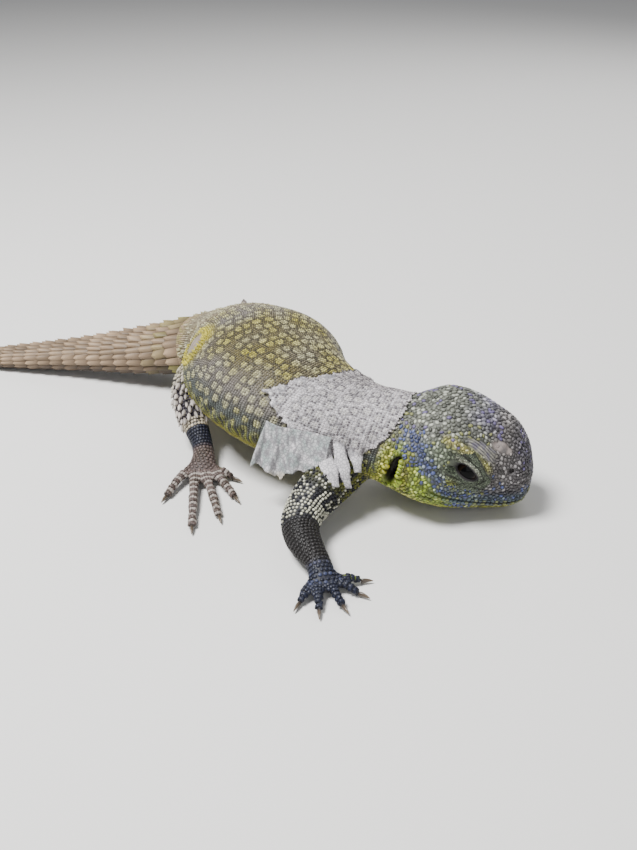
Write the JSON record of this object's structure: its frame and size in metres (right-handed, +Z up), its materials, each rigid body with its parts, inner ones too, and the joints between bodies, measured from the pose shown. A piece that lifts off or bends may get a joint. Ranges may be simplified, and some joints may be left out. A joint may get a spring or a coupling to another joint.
{
  "type": "spiny-tailed lizard",
  "caption": "Life-size still model of a spiny-tailed lizard, standing with its head low, in mid shed.",
  "frame": {"origin": "centre of the model's bounding box, at the floor its feet stand on", "axes": "+X runs from the tail towards the head, +Z is up, and the animal's own left side is towards +Y"},
  "size_m": [0.2358, 0.1636, 0.0427],
  "materials": {
    "head": "small dry scales, slate grey with yellow-green cheeks",
    "jaw": "small dry scales, blue-green lip",
    "eye": "wet gloss",
    "neck": "fine scales under pale shedding skin",
    "torso": "fine scales, pale rings on a dark net",
    "tail": "rings of hard keeled scutes",
    "upper_arm": "bead scales, dark with cream dots",
    "forearm": "dark smooth scales",
    "hand": "dark smooth scales",
    "thigh": "scales with pale thorns",
    "shank": "scales with pale thorns",
    "foot": "plates with pale bands",
    "shed_flap": "thin dry shed skin",
    "claw": "horn"
  },
  "bodies": {
    "root": {"head": "head", "jaw": "jaw", "eye_left": "eye", "eye_right": "eye", "neck": "neck", "torso": "torso", "tail_1": "tail", "tail_2": "tail", "tail_3": "tail", "tail_4": "tail", "upper_arm_right": "upper_arm", "upper_arm_left": "upper_arm", "forearm_right": "forearm", "forearm_left": "forearm", "hand_right": "hand", "hand_left": "hand", "thigh_right": "thigh", "thigh_left": "thigh", "shank_right": "shank", "shank_left": "shank", "foot_right": "foot", "foot_left": "foot", "shed_flap": "shed_flap", "claw_hand_right_1": "claw", "claw_hand_right_2": "claw", "claw_hand_right_3": "claw", "claw_hand_right_4": "claw", "claw_hand_right_5": "claw", "claw_hand_left_1": "claw", "claw_hand_left_2": "claw", "claw_hand_left_3": "claw", "claw_hand_left_4": "claw", "claw_hand_left_5": "claw", "claw_foot_right_1": "claw", "claw_foot_right_2": "claw", "claw_foot_right_3": "claw", "claw_foot_right_4": "claw", "claw_foot_right_5": "claw", "claw_foot_left_1": "claw", "claw_foot_left_2": "claw", "claw_foot_left_3": "claw", "claw_foot_left_4": "claw", "claw_foot_left_5": "claw"}
  },
  "joints": []
}
